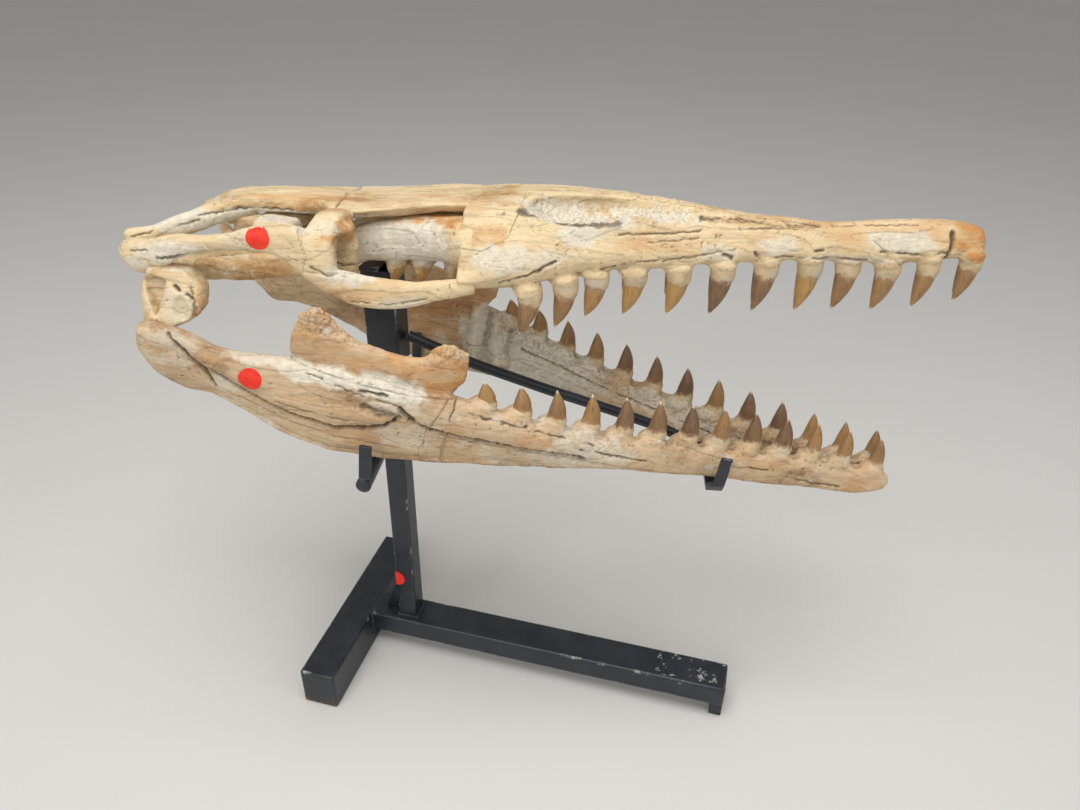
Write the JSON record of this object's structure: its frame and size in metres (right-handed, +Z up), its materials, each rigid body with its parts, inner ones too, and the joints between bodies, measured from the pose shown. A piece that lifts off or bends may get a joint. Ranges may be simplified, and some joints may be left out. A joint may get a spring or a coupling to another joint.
{
  "type": "mounted mosasaur skull",
  "caption": "Long fossil marine reptile skull with its jaws held open, on a black steel post with a T-shaped base.",
  "frame": {"origin": "on the floor, on the underside of the stand's crossbar, under the skull's rear", "axes": "+X towards the snout's tip, +Z up, the animal's right side towards -Y"},
  "size_m": [0.7466, 0.2691, 0.5663],
  "materials": {
    "fossil_bone": "dry yellow-cream fossil bone with grey plaster fill, matte",
    "jaw_bone": "dry pinkish-tan fossil bone with long fine grain, matte",
    "black_paint": "black satin paint, worn through at a few edges"
  },
  "bodies": {
    "root": {"angular_L": "jaw_bone", "angular_R": "jaw_bone", "articular_L": "jaw_bone", "articular_R": "jaw_bone", "braincase": "fossil_bone", "coronoid_L": "jaw_bone", "coronoid_R": "jaw_bone", "dentary_L": "jaw_bone", "dentary_R": "jaw_bone", "frontal": "fossil_bone", "jugal_L": "fossil_bone", "jugal_R": "fossil_bone", "maxilla_L": "fossil_bone", "maxilla_R": "fossil_bone", "parietal": "fossil_bone", "postorbital_L": "fossil_bone", "postorbital_R": "fossil_bone", "prefrontal_L": "fossil_bone", "prefrontal_R": "fossil_bone", "premaxilla": "fossil_bone", "pterygoid_L": "fossil_bone", "pterygoid_R": "fossil_bone", "quadrate_L": "fossil_bone", "quadrate_R": "fossil_bone", "splenial_L": "jaw_bone", "splenial_R": "jaw_bone", "stand_brace": "black_paint", "stand_cross_tube_L": "black_paint", "stand_cross_tube_R": "black_paint", "stand_crossbar": "black_paint", "stand_foot": "black_paint", "stand_front_strip": "black_paint", "stand_head": "black_paint", "stand_long_bar": "black_paint", "stand_post": "black_paint", "stand_rod": "black_paint", "stand_strip_tab_L": "black_paint", "stand_strip_tab_R": "black_paint", "stand_top_plate": "black_paint", "stand_tube_tab_L": "black_paint", "stand_tube_tab_R": "black_paint", "surangular_L": "jaw_bone", "surangular_R": "jaw_bone", "temporal_arch_L": "fossil_bone", "temporal_arch_R": "fossil_bone"}
  },
  "joints": []
}
